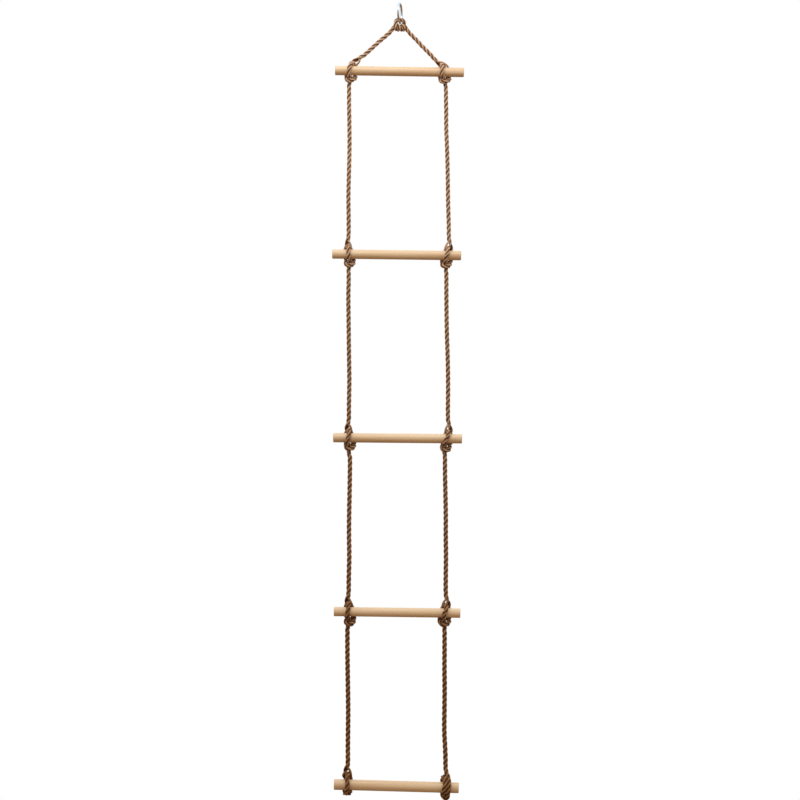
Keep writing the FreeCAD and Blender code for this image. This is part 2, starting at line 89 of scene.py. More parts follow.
HITCH = {
    (1, "left"): [
        (-0.0824, 0, -0.1172), (-0.0858, 0.0003, -0.1194), (-0.093, 0.0015, -0.1228), (-0.0997, 0.002, -0.1279), (-0.1068, 0.0048, -0.1299),
        (-0.1138, 0.0075, -0.133), (-0.1159, 0.0088, -0.1413), (-0.1197, 0.0146, -0.1461), (-0.1226, 0.0161, -0.1538), (-0.1245, 0.0149, -0.1616),
        (-0.1249, 0.01, -0.1683), (-0.1243, 0.003, -0.1723), (-0.1231, -0.0041, -0.1764), (-0.1151, -0.0075, -0.1782), (-0.1075, -0.005, -0.175),
        (-0.1039, 0.0018, -0.1719), (-0.1036, 0.0088, -0.1677), (-0.1043, 0.0144, -0.1618), (-0.104, 0.0166, -0.1538), (-0.1067, 0.015, -0.1459),
        (-0.1065, 0.009, -0.1402), (-0.1074, 0.0016, -0.1381), (-0.1134, -0.0045, -0.1372), (-0.1145, -0.0121, -0.1411), (-0.1176, -0.0159, -0.1477),
        (-0.1198, -0.0166, -0.1556), (-0.12, -0.0136, -0.1635), (-0.1179, -0.0075, -0.1683), (-0.1147, 0.0002, -0.1706), (-0.1165, 0.0034, -0.1783),
        (-0.1187, 0.0031, -0.186), (-0.1184, 0.0012, -0.1941), (-0.1184, 0, -0.1979),
    ],
    (1, "right"): [
        (0.072, 0, -0.117), (0.0746, 0.0003, -0.12), (0.08, 0.001, -0.1261), (0.0858, 0.0021, -0.1315), (0.0907, 0.0044, -0.1377),
        (0.093, 0.0089, -0.144), (0.0942, 0.0147, -0.1497), (0.0942, 0.0162, -0.158), (0.0937, 0.0143, -0.1658), (0.0937, 0.009, -0.1723),
        (0.0947, 0.0019, -0.1758), (0.0972, -0.0045, -0.1806), (0.1055, -0.0076, -0.1812), (0.1122, -0.0038, -0.1781), (0.1155, 0.0032, -0.1752),
        (0.116, 0.0102, -0.171), (0.1138, 0.015, -0.1646), (0.1105, 0.0165, -0.1574), (0.1064, 0.0152, -0.1504), (0.1028, 0.0107, -0.1445),
        (0.1001, 0.0038, -0.141), (0.0984, -0.0042, -0.1407), (0.0986, -0.0118, -0.1443), (0.0983, -0.0161, -0.1513), (0.0976, -0.0164, -0.1595),
        (0.0982, -0.0134, -0.1673), (0.1011, -0.0075, -0.172), (0.1042, 0.0002, -0.1737), (0.1052, 0.003, -0.1819), (0.1067, 0.0032, -0.1896),
        (0.107, 0.0011, -0.1976), (0.1074, 0, -0.2014),
    ],
    (2, "left"): [
        (-0.1193, 0, -0.5335), (-0.1195, 0.0003, -0.5375), (-0.1206, 0.0009, -0.5455), (-0.1225, 0.002, -0.5534), (-0.126, 0.0047, -0.5603),
        (-0.1264, 0.0082, -0.5676), (-0.1266, 0.0143, -0.5732), (-0.127, 0.0162, -0.5813), (-0.1271, 0.0147, -0.5894), (-0.1263, 0.0104, -0.5963),
        (-0.126, 0.0039, -0.6013), (-0.1252, -0.003, -0.6056), (-0.1179, -0.0072, -0.6084), (-0.1098, -0.0041, -0.6064), (-0.1078, 0.0024, -0.6018),
        (-0.1078, 0.0088, -0.5968), (-0.1082, 0.0139, -0.5904), (-0.1112, 0.0162, -0.583), (-0.1141, 0.0154, -0.5755), (-0.117, 0.0117, -0.5685),
        (-0.1176, 0.0046, -0.5646), (-0.1203, -0.0032, -0.5635), (-0.1202, -0.0109, -0.5668), (-0.1198, -0.0154, -0.5738), (-0.1195, -0.0165, -0.5819),
        (-0.1192, -0.0144, -0.5898), (-0.1175, -0.0093, -0.5962), (-0.1169, -0.0017, -0.5995), (-0.1171, 0.0036, -0.6055), (-0.1196, 0.003, -0.6139),
        (-0.1195, 0.0013, -0.6216), (-0.1193, 0, -0.6255),
    ],
    (2, "right"): [
        (0.1139, 0, -0.5365), (0.1141, 0.0003, -0.5405), (0.1146, 0.0009, -0.5487), (0.1168, 0.0021, -0.5564), (0.1189, 0.0045, -0.564),
        (0.1196, 0.0085, -0.571), (0.1199, 0.0145, -0.5768), (0.1203, 0.0162, -0.585), (0.1199, 0.0146, -0.593), (0.1176, 0.0101, -0.5997),
        (0.1169, 0.0035, -0.6043), (0.115, -0.0033, -0.6088), (0.1078, -0.0074, -0.6109), (0.0994, -0.004, -0.609), (0.0982, 0.0025, -0.604),
        (0.0985, 0.009, -0.5993), (0.0989, 0.0141, -0.5927), (0.1029, 0.0161, -0.5857), (0.1063, 0.0155, -0.5783), (0.1087, 0.0115, -0.5714),
        (0.1105, 0.0045, -0.5674), (0.1122, -0.0036, -0.5668), (0.1126, -0.0112, -0.5704), (0.1114, -0.0156, -0.5774), (0.1084, -0.0166, -0.5851),
        (0.1061, -0.0146, -0.5925), (0.1047, -0.0093, -0.5991), (0.1067, -0.0016, -0.6018), (0.1071, 0.0032, -0.6083), (0.1071, 0.0029, -0.6168),
        (0.1082, 0.0012, -0.6245), (0.1083, 0, -0.6285),
    ],
    (3, "left"): [
        (-0.1188, 0, -0.9612), (-0.119, 0.0003, -0.9653), (-0.1201, 0.0009, -0.9733), (-0.1221, 0.0021, -0.9812), (-0.1254, 0.0047, -0.9883),
        (-0.1258, 0.0083, -0.9956), (-0.1261, 0.0144, -1.0012), (-0.1265, 0.0162, -1.0094), (-0.1266, 0.0146, -1.0175), (-0.1257, 0.0101, -1.0244),
        (-0.1256, 0.0032, -1.0287), (-0.1249, -0.0037, -1.0335), (-0.1167, -0.0073, -1.0356), (-0.1091, -0.0041, -1.0332), (-0.1069, 0.0026, -1.0286),
        (-0.1063, 0.0093, -1.0241), (-0.1072, 0.0143, -1.0175), (-0.1106, 0.0162, -1.0102), (-0.1138, 0.0153, -1.0027), (-0.1163, 0.0112, -0.9957),
        (-0.1171, 0.0038, -0.9921), (-0.1193, -0.0042, -0.9914), (-0.1181, -0.0117, -0.9953), (-0.1184, -0.0157, -1.0026), (-0.1208, -0.0164, -1.0105),
        (-0.1222, -0.0141, -1.0183), (-0.1204, -0.0085, -1.0244), (-0.1166, -0.0012, -1.0269), (-0.117, 0.0035, -1.0337), (-0.12, 0.003, -1.0418),
        (-0.1177, 0.0012, -1.0496), (-0.1163, 0, -1.0532),
    ],
    (3, "right"): [
        (0.1118, 0, -0.9633), (0.112, 0.0003, -0.9674), (0.1137, 0.001, -0.9755), (0.116, 0.0021, -0.9833), (0.1188, 0.0049, -0.9906),
        (0.119, 0.0087, -0.9979), (0.1186, 0.0146, -1.0039), (0.119, 0.0162, -1.0122), (0.1185, 0.0144, -1.0203), (0.1162, 0.0099, -1.0269),
        (0.1159, 0.004, -1.0327), (0.1143, -0.0027, -1.0375), (0.1074, -0.0072, -1.0399), (0.099, -0.0035, -1.0373), (0.0973, 0.0028, -1.0327),
        (0.1, 0.0085, -1.0269), (0.0996, 0.0137, -1.0204), (0.1031, 0.0162, -1.013), (0.1063, 0.0155, -1.0055), (0.1094, 0.0117, -0.9985),
        (0.1105, 0.0042, -0.9949), (0.1135, -0.0036, -0.9943), (0.1137, -0.0114, -0.9979), (0.1119, -0.0156, -1.005), (0.1079, -0.0165, -1.0123),
        (0.1048, -0.0149, -1.0197), (0.1031, -0.0093, -1.0262), (0.1051, -0.0022, -1.0296), (0.107, 0.0037, -1.0353), (0.1034, 0.0036, -1.0435),
        (0.1051, 0.0013, -1.0514), (0.105, 0, -1.0553),
    ],
    (4, "left"): [
        (-0.1193, 0, -1.3664), (-0.1196, 0.0003, -1.3704), (-0.1205, 0.0007, -1.3786), (-0.1232, 0.0021, -1.3862), (-0.1259, 0.0045, -1.3936),
        (-0.1257, 0.0083, -1.4008), (-0.1262, 0.0145, -1.4065), (-0.1263, 0.0162, -1.4147), (-0.1264, 0.0145, -1.4228), (-0.1247, 0.0101, -1.4297),
        (-0.1253, 0.0045, -1.4357), (-0.1258, -0.0022, -1.4401), (-0.1182, -0.0068, -1.4437), (-0.1105, -0.0049, -1.4424), (-0.1074, 0.002, -1.4375),
        (-0.107, 0.0073, -1.4317), (-0.107, 0.0127, -1.4253), (-0.11, 0.0158, -1.4183), (-0.1134, 0.0161, -1.4108), (-0.1142, 0.0144, -1.4027),
        (-0.1163, 0.0094, -1.3963), (-0.117, 0.0016, -1.3934), (-0.1191, -0.0064, -1.3943), (-0.1194, -0.0128, -1.3998), (-0.1202, -0.0161, -1.4073),
        (-0.1217, -0.0165, -1.4154), (-0.1222, -0.0141, -1.4233), (-0.1205, -0.0085, -1.4294), (-0.1181, -0.0019, -1.4334), (-0.1163, 0.0038, -1.4395),
        (-0.1213, 0.004, -1.4468), (-0.122, 0.0014, -1.4546), (-0.1223, 0, -1.4584),
    ],
    (4, "right"): [
        (0.1067, 0, -1.3695), (0.1069, 0.0003, -1.3735), (0.1079, 0.0007, -1.3816), (0.1108, 0.0019, -1.389), (0.1138, 0.0044, -1.3962),
        (0.114, 0.0079, -1.4035), (0.1144, 0.0141, -1.4091), (0.1145, 0.0162, -1.4171), (0.1147, 0.0148, -1.4252), (0.1149, 0.0107, -1.4322),
        (0.1145, 0.0047, -1.4376), (0.1125, -0.0017, -1.4422), (0.1065, -0.007, -1.4452), (0.0978, -0.006, -1.4445), (0.0937, 0, -1.4403),
        (0.0928, 0.0062, -1.4351), (0.0927, 0.0118, -1.4292), (0.0949, 0.0155, -1.4222), (0.0988, 0.0162, -1.415), (0.1012, 0.0147, -1.4074),
        (0.1036, 0.0102, -1.4009), (0.1049, 0.0028, -1.3976), (0.1071, -0.0052, -1.3979), (0.108, -0.0121, -1.4025), (0.1072, -0.0158, -1.4098),
        (0.104, -0.0167, -1.4173), (0.1014, -0.0148, -1.4248), (0.1007, -0.0097, -1.4313), (0.1021, -0.0029, -1.4356), (0.1034, 0.0025, -1.4415),
        (0.1036, 0.0036, -1.4498), (0.104, 0.0013, -1.4576), (0.1041, 0, -1.4614),
    ],
    (5, "left"): [
        (-0.1212, 0, -1.7672), (-0.1216, 0.0003, -1.7712), (-0.1241, 0.0011, -1.7788), (-0.1281, 0.0024, -1.7858), (-0.1299, 0.0049, -1.7933),
        (-0.1295, 0.0091, -1.8002), (-0.1289, 0.0139, -1.8066), (-0.1285, 0.0175, -1.8138), (-0.1285, 0.0174, -1.8221), (-0.1287, 0.0134, -1.8292),
        (-0.1286, 0.0071, -1.8342), (-0.126, -0.0007, -1.8368), (-0.1176, -0.003, -1.8373), (-0.116, 0.0062, -1.835), (-0.1156, 0.0123, -1.8305),
        (-0.1159, 0.0171, -1.8237), (-0.116, 0.018, -1.8156), (-0.1163, 0.0166, -1.8076), (-0.1169, 0.0133, -1.8002), (-0.1183, 0.0078, -1.7945),
        (-0.1202, 0.0004, -1.7914), (-0.1218, -0.0076, -1.7926), (-0.1226, -0.0133, -1.7985), (-0.1223, -0.0165, -1.806), (-0.1217, -0.0182, -1.8138),
        (-0.1218, -0.0178, -1.8219), (-0.1239, -0.0157, -1.8295), (-0.1268, -0.0113, -1.8356), (-0.128, -0.0084, -1.8382),
    ],
    (5, "right"): [
        (0.1062, 0, -1.776), (0.1065, -0.0009, -1.7799), (0.1076, -0.0032, -1.7878), (0.1105, -0.0066, -1.7947), (0.1132, -0.0101, -1.8014),
        (0.1139, -0.0139, -1.8087), (0.1141, -0.0172, -1.8162), (0.1131, -0.0186, -1.8242), (0.1121, -0.0173, -1.8323), (0.1115, -0.0132, -1.8394),
        (0.1103, -0.0085, -1.846), (0.1061, -0.0022, -1.8503), (0.1009, 0.0032, -1.8456), (0.0989, 0.0087, -1.8401), (0.0987, 0.0145, -1.8342),
        (0.0989, 0.0177, -1.8266), (0.099, 0.0178, -1.8183), (0.099, 0.0152, -1.8105), (0.0996, 0.0103, -1.804), (0.1016, 0.0037, -1.7991),
        (0.1035, -0.0044, -1.7989), (0.1042, -0.0114, -1.8036), (0.1054, -0.0159, -1.8103), (0.105, -0.0186, -1.8181), (0.1028, -0.0191, -1.826),
        (0.101, -0.0163, -1.8337), (0.101, -0.0108, -1.8398), (0.1015, -0.0076, -1.8423),
    ],
}
LEG = {
    "left": [
        (-0.0358, 0, -0.0756), (-0.0458, 0.0004, -0.0838), (-0.0565, -0.0005, -0.0935), (-0.066, 0, -0.1022),
    ],
    "right": [
        (0.0323, 0, -0.0762), (0.0402, 0.0004, -0.0838), (0.0489, -0.0005, -0.0938), (0.0567, 0, -0.1014),
    ],
}
SPAN = {
    (1, "left"): [
        (-0.1184, 0, -0.2219), (-0.1183, 0, -0.2439), (-0.1175, 0.0003, -0.2819), (-0.1172, -0.0002, -0.3377), (-0.1187, -0.0008, -0.3936),
        (-0.1202, -0.0004, -0.4495), (-0.1194, -0.0005, -0.4875), (-0.1193, 0, -0.5095),
    ],
    (1, "right"): [
        (0.1074, 0, -0.2254), (0.1081, 0.0001, -0.2474), (0.1077, -0.0002, -0.2854), (0.1102, -0.0023, -0.3411), (0.1115, -0.0005, -0.3968),
        (0.1121, 0, -0.4525), (0.1132, 0.0001, -0.4905), (0.1139, 0, -0.5125),
    ],
    (2, "left"): [
        (-0.1193, 0, -0.6495), (-0.1202, 0, -0.6715), (-0.1199, 0.0012, -0.7095), (-0.1192, -0.0004, -0.7654), (-0.1185, -0.0006, -0.8213),
        (-0.1176, 0.0004, -0.8772), (-0.1184, 0.0002, -0.9152), (-0.1188, 0, -0.9372),
    ],
    (2, "right"): [
        (0.1083, 0, -0.6525), (0.1083, -0.0008, -0.6745), (0.1086, -0.0004, -0.7125), (0.1094, -0.0009, -0.7681), (0.1115, -0.0007, -0.8237),
        (0.1124, 0.001, -0.8793), (0.1121, -0.0004, -0.9173), (0.1118, 0, -0.9393),
    ],
    (3, "left"): [
        (-0.1163, 0, -1.0772), (-0.1167, 0.0001, -1.0992), (-0.1172, -0.0008, -1.1372), (-0.1183, 0, -1.1856), (-0.1188, 0.0006, -1.234),
        (-0.1177, -0.0012, -1.2824), (-0.1187, -0.0002, -1.3204), (-0.1193, 0, -1.3424),
    ],
    (3, "right"): [
        (0.105, 0, -1.0793), (0.1052, 0, -1.1013), (0.1061, 0.0008, -1.1393), (0.107, -0.0005, -1.188), (0.1067, -0.0001, -1.2367),
        (0.1075, 0.0001, -1.2855), (0.1069, 0, -1.3235), (0.1067, 0, -1.3455),
    ],
    (4, "left"): [
        (-0.1223, 0, -1.4824), (-0.1223, -0.001, -1.5044), (-0.1219, -0.0012, -1.5424), (-0.1211, -0.0017, -1.5902), (-0.1204, -0.0002, -1.638),
        (-0.1208, -0.0011, -1.6857), (-0.1213, 0.0001, -1.7237), (-0.1212, 0, -1.7457),
    ],
    (4, "right"): [
        (0.1041, 0, -1.4855), (0.104, -0.0006, -1.5075), (0.1037, 0.0001, -1.5455), (0.1044, 0.0012, -1.5943), (0.1038, -0.0014, -1.6432),
        (0.1031, 0.0008, -1.692), (0.1053, 0.0001, -1.73), (0.1062, 0, -1.752),
    ],
}
# where the rope is opened above a rung, the strand that goes round the passing rope
STRAY = {
    (1, "left"): [
        (-0.0932, -0.002, -0.1287), (-0.0954, -0.0016, -0.1347), (-0.1, 0.0004, -0.1394), (-0.103, 0.0044, -0.1423), (-0.1018, 0.0114, -0.145),
        (-0.0998, 0.0186, -0.15), (-0.1024, 0.0216, -0.1581), (-0.1058, 0.0174, -0.1647), (-0.1098, 0.0152, -0.1682), (-0.114, 0.0144, -0.1676),
        (-0.1184, 0.0166, -0.1639),
    ],
    (1, "right"): [
        (0.0954, -0.002, -0.1338), (0.1018, -0.0022, -0.1363), (0.1078, 0.0004, -0.1398), (0.112, 0.0054, -0.1439), (0.1142, 0.0124, -0.1485),
        (0.113, 0.0196, -0.1535), (0.1108, 0.0216, -0.1614), (0.1092, 0.0164, -0.1702), (0.1054, 0.0136, -0.1744), (0.099, 0.0166, -0.1697),
    ],
    (2, "left"): [
        (-0.1177, -0.0024, -0.5529), (-0.1151, -0.002, -0.5581), (-0.1143, -0.0008, -0.5635), (-0.1127, 0.003, -0.5689), (-0.1097, 0.0096, -0.5732),
        (-0.1077, 0.0176, -0.5784), (-0.1099, 0.0214, -0.5872), (-0.1127, 0.0162, -0.5961), (-0.1177, 0.013, -0.6005), (-0.1227, 0.0168, -0.596),
    ],
    (2, "right"): [
        (0.1113, -0.0024, -0.555), (0.1079, -0.0022, -0.5602), (0.1059, -0.0008, -0.566), (0.1045, 0.003, -0.5718), (0.1017, 0.0096, -0.5759),
        (0.0999, 0.0176, -0.5811), (0.1017, 0.0214, -0.5879), (0.1069, 0.017, -0.5948), (0.1127, 0.0146, -0.5987), (0.1157, 0.0168, -0.5969),
    ],
    (3, "left"): [
        (-0.1168, -0.0024, -0.9803), (-0.1142, -0.002, -0.9853), (-0.1132, -0.0008, -0.9913), (-0.1118, 0.003, -0.9967), (-0.109, 0.0096, -1.0009),
        (-0.107, 0.0176, -1.0061), (-0.1094, 0.0214, -1.0149), (-0.1122, 0.0162, -1.0239), (-0.1172, 0.013, -1.0283), (-0.1222, 0.0168, -1.0238),
    ],
    (3, "right"): [
        (0.1102, -0.0024, -0.9819), (0.1072, -0.0022, -0.9873), (0.106, -0.0008, -0.9933), (0.1048, 0.003, -0.9989), (0.102, 0.0096, -1.0031),
        (0.1, 0.0176, -1.0082), (0.1024, 0.0214, -1.0153), (0.1074, 0.017, -1.0229), (0.1128, 0.0146, -1.0261), (0.1156, 0.0168, -1.0234),
    ],
    (4, "left"): [
        (-0.1179, -0.0026, -1.3848), (-0.1155, -0.0022, -1.3891), (-0.1131, -0.0016, -1.3945), (-0.1111, 0.0024, -1.3999), (-0.1087, 0.0094, -1.4048),
        (-0.1071, 0.0178, -1.4104), (-0.1097, 0.0216, -1.4202), (-0.1123, 0.0162, -1.4293), (-0.1173, 0.013, -1.4349), (-0.1221, 0.0168, -1.4294),
    ],
    (4, "right"): [
        (0.1053, -0.0026, -1.3876), (0.1017, -0.0024, -1.3922), (0.0997, -0.0014, -1.3978), (0.0985, 0.0026, -1.4034), (0.0957, 0.0094, -1.4079),
        (0.0937, 0.0178, -1.4133), (0.0957, 0.0214, -1.4229), (0.0981, 0.0162, -1.4321), (0.1037, 0.013, -1.437), (0.1091, 0.0168, -1.4323),
    ],
    (5, "left"): [
        (-0.119, -0.0022, -1.7798), (-0.1158, -0.0024, -1.7849), (-0.1144, -0.0016, -1.7909), (-0.114, 0.0034, -1.7973), (-0.1136, 0.0114, -1.802),
        (-0.1126, 0.0192, -1.8066), (-0.1132, 0.0242, -1.8124), (-0.1184, 0.0252, -1.816), (-0.1244, 0.023, -1.8189),
    ],
}
# where the rope bends, above and below each rung
BEND = {
    "below_1_left": (-0.1184, 0, -0.2099),
    "above_2_left": (-0.1193, 0, -0.5215),
    "below_2_left": (-0.1193, 0, -0.6375),
    "above_3_left": (-0.1188, 0, -0.9492),
    "below_3_left": (-0.1163, 0, -1.0652),
    "above_4_left": (-0.1193, 0, -1.3544),
    "below_4_left": (-0.1223, 0, -1.4704),
    "above_5_left": (-0.1212, 0, -1.7577),
    "below_1_right": (0.1074, 0, -0.2134),
    "above_2_right": (0.1139, 0, -0.5245),
    "below_2_right": (0.1083, 0, -0.6405),
    "above_3_right": (0.1118, 0, -0.9513),
    "below_3_right": (0.105, 0, -1.0673),
    "above_4_right": (0.1067, 0, -1.3575),
    "below_4_right": (0.1041, 0, -1.4735),
    "above_5_right": (0.1062, 0, -1.764),
    "above_1_left": (-0.0735, 0, -0.1088),
    "head_left": (-0.0283, 0, -0.069),
    "above_1_right": (0.0636, 0, -0.1086),
    "head_right": (0.0254, 0, -0.069),
}
# the rungs' middles at the hitches
CENTRE = {
    (1, "left"): (-0.1184, 0, -0.1539),
    (1, "right"): (0.1074, 0, -0.1574),
    (2, "left"): (-0.1193, 0, -0.5815),
    (2, "right"): (0.1139, 0, -0.5845),
    (3, "left"): (-0.1188, 0, -1.0092),
    (3, "right"): (0.1118, 0, -1.0113),
    (4, "left"): (-0.1193, 0, -1.4144),
    (4, "right"): (0.1067, 0, -1.4175),
    (5, "left"): (-0.1212, 0, -1.8177),
    (5, "right"): (0.1062, 0, -1.824),
}


STRAND_R = 0.00242         # one strand
STRAND_OUT = 0.00258       # from the rope's middle to a strand's middle
KNOT_SQUEEZE = 0.97        # the rope is squeezed this much in a knot
LAY = 0.0385               # a strand's full turn
STEP = 0.0013

whole = []
for n in (5, 4, 3, 2, 1):
    whole += HITCH[n, "left"][::-1] + (SPAN[n - 1, "left"][::-1] if n > 1 else LEG["left"][::-1])
whole += HEAD + LEG["right"]
for n in (1, 2, 3, 4, 5):
    whole += HITCH[n, "right"] + (SPAN[n, "right"] if n < 5 else [])


def nurbs_line(points, resolution=14):
    """The points of a smooth NURBS line with these control points, as Blender draws it."""
    data = bpy.data.curves.new("line", "CURVE")
    data.dimensions = "3D"
    spline = data.splines.new("NURBS")
    spline.points.add(len(points) - 1)
    for p, q in zip(spline.points, points):
        p.co = (*q, 1.0)
    spline.order_u = 3
    spline.use_endpoint_u = True
    spline.resolution_u = resolution
    data.resolution_u = resolution
    holder = bpy.data.objects.new("line", data)
    mesh = bpy.data.meshes.new_from_object(holder)
    line = np.array([v.co for v in mesh.vertices], float)
    bpy.data.meshes.remove(mesh)
    bpy.data.objects.remove(holder)
    bpy.data.curves.remove(data)
    return line


def lengths(line):
    return np.concatenate([[0.0], np.cumsum(np.linalg.norm(np.diff(line, axis=0), axis=1))])


def at(line, s):
    """Points of a line at these distances along it."""
    along = lengths(line)
    return np.stack([np.interp(s, along, line[:, k]) for k in range(3)], axis=-1)


def tangents(line):
    t = np.gradient(line, axis=0)
    return t / np.linalg.norm(t, axis=1, keepdims=True)


def carried(line, first=(0.0, 1.0, 0.2)):
    """Axes carried along a line without turning about it."""
    t = tangents(line)
    a = np.empty_like(line)
    v = np.array(first, float)
    for i in range(len(line)):
        v = v - t[i] * (v @ t[i])
        v /= np.linalg.norm(v)
        a[i] = v
    return a, np.cross(t, a), t


raw = nurbs_line(whole)
LONG = lengths(raw)[-1]
N = int(round(LONG / STEP)) + 1
S = np.linspace(0, LONG, N)
LINE = at(raw, S)
AX, AY, AT = carried(LINE)


def nearest(point, a=0, b=None):
    """Index of the rope's point nearest to a place."""
    d = np.linalg.norm(LINE[a:b] - np.array(point, float), axis=1)
    return int(a + d.argmin())


def smoothstep(x):
    x = np.clip(x, 0, 1)
    return x * x * (3 - 2 * x)


# bends of the rope and where the hitches begin and end along it
MIDDLE = nearest((0, 0, -0.050))
BEND_AT = {}
for key, p in BEND.items():
    if key.endswith("left"):
        BEND_AT[key] = nearest(p, 0, MIDDLE)
    else:
        BEND_AT[key] = nearest(p, MIDDLE, N)

# how much the rope is squeezed, along its length
squeeze = np.ones(N)
def squeezed(a, b, ease=0.020):
    a, b = S[min(a, b)], S[max(a, b)]
    k = smoothstep((S - a) / ease) * smoothstep((b - S) / ease)
    np.minimum(squeeze, 1 - (1 - KNOT_SQUEEZE) * k, out=squeeze)

squeezed(BEND_AT["head_left"], BEND_AT["head_right"], 0.012)
for side in ("left", "right"):
    for n in range(1, 6):
        lower = BEND_AT["below_%d_%s" % (n, side)] if n < 5 else (0 if side == "left" else N - 1)
        squeezed(BEND_AT["above_%d_%s" % (n, side)], lower)

# strand middles, one turn in LAY, with the lay a little uneven
wander = np.cumsum(np.interp(S, np.arange(0, LONG + 0.1, 0.05),
                             np.random.default_rng(5).normal(0, 1, len(np.arange(0, LONG + 0.1, 0.05)))))
wander = wander / np.abs(wander).max() * 0.9
TURN = 2 * math.pi * S / LAY + wander
DOWN = np.abs(S - S[MIDDLE])
# the rope is a little fuller towards the ground
THICK = np.interp(DOWN, [0.0, 0.30, 0.75, 1.30, 1.90, 2.40], [1.02, 1.03, 1.07, 1.09, 1.15, 1.16]) * squeeze


def strand_way(k, i):
    """The direction from the rope's middle to strand k at point i."""
    ang = TURN[i] + k * 2 * math.pi / 3
    return math.cos(ang) * AX[i] + math.sin(ang) * AY[i]


def opened_lay(n, side):
    """Where the rope passes through its own lay above a rung: the strand that goes round the passing
    rope's far side, and the rope's points where that strand leaves and comes back."""
    points = np.array(STRAY[n, side])
    bend = BEND_AT["above_%d_%s" % (n, side)]
    step = -1 if side == "left" else 1                       # index step going down
    down = bend + step * np.arange(int(0.095 / STEP))
    down = down[(down >= 0) & (down < N)]
    choices = []
    for end_point, other, window in ((points[0], points[1], 0.005), (points[-1], points[-2], 0.006)):
        d = np.linalg.norm(LINE[down] - end_point, axis=1)
        around = down[max(0, d.argmin() - int(window / STEP)):d.argmin() + int(window / STEP) + 1]
        choices.append((around, end_point))
    best = None
    for k in range(3):
        for i in choices[0][0]:
            way = points[0] - LINE[i]
            match = float(strand_way(k, i) @ (way / np.linalg.norm(way)))
            if best is None or match > best[0]:
                best = (match, k, int(i))
    _, k, i0 = best
    ways = [float(strand_way(k, i) @ (points[-1] - LINE[i]) / np.linalg.norm(points[-1] - LINE[i])) for i in choices[1][0]]
    i1 = int(choices[1][0][int(np.argmax(ways))])
    return k, i0, i1


OPEN = {}
shift = [np.zeros(N) for _ in range(3)]
pull_in = np.ones(N)
for key in STRAY:
    k, i0, i1 = opened_lay(*key)
    OPEN[key] = (k, i0, i1)
    lo, hi = min(i0, i1), max(i0, i1)
    w = smoothstep((S - S[lo]) / 0.008) * smoothstep((S[hi] - S) / 0.008)
    shift[(k + 1) % 3] -= math.radians(30) * w
    shift[(k + 2) % 3] += math.radians(30) * w
    pull_in -= 0.10 * w

strands, outwards = [], []
for k in range(3):
    ang = TURN + k * 2 * math.pi / 3 + shift[k]
    direction = np.cos(ang)[:, None] * AX + np.sin(ang)[:, None] * AY
    outwards.append(direction)
    strands.append(LINE + (STRAND_OUT * THICK * pull_in)[:, None] * direction)


def stray_row(key, seed):
    """The strand that left the lay, as a row for strand_mesh, from its leaving to its return."""
    k, i0, i1 = OPEN[key]
    step = 1 if i1 > i0 else -1
    before = [strands[k][i0 - step * j] for j in (6, 3, 0)]
    after = [strands[k][i1 + step * j] for j in (0, 3, 6)]
    line = nurbs_line([tuple(p) for p in before + [np.array(q) for q in STRAY[key]] + after], 10)
    count = int(round(lengths(line)[-1] / STEP))
    line = at(line, np.linspace(0, lengths(line)[-1], count + 1))
    a, b, t = carried(line, outwards[k][i0 - step * 6])
    want = outwards[k][i1 + step * 6]
    off = math.atan2(float(want @ b[-1]), float(want @ a[-1]))
    turn_by = np.linspace(0, off, len(line))
    outward = np.cos(turn_by)[:, None] * a + np.sin(turn_by)[:, None] * b
    radius = STRAND_R * np.interp(np.linspace(0, 1, len(line)), [0, 1], [THICK[i0], THICK[i1]])
    down = np.linspace(DOWN[i0 - step * 6], DOWN[i1 + step * 6], len(line))
    return (line, radius, outward, down, seed, (False, False), S[i0] + lengths(line) * step, 0.7, None)

# ------------------------------------------------------------------ mesh tools
SIDES = 20
YARNS = 7
YARN_DEPTH = 0.05
YARN_LAY = 0.0225


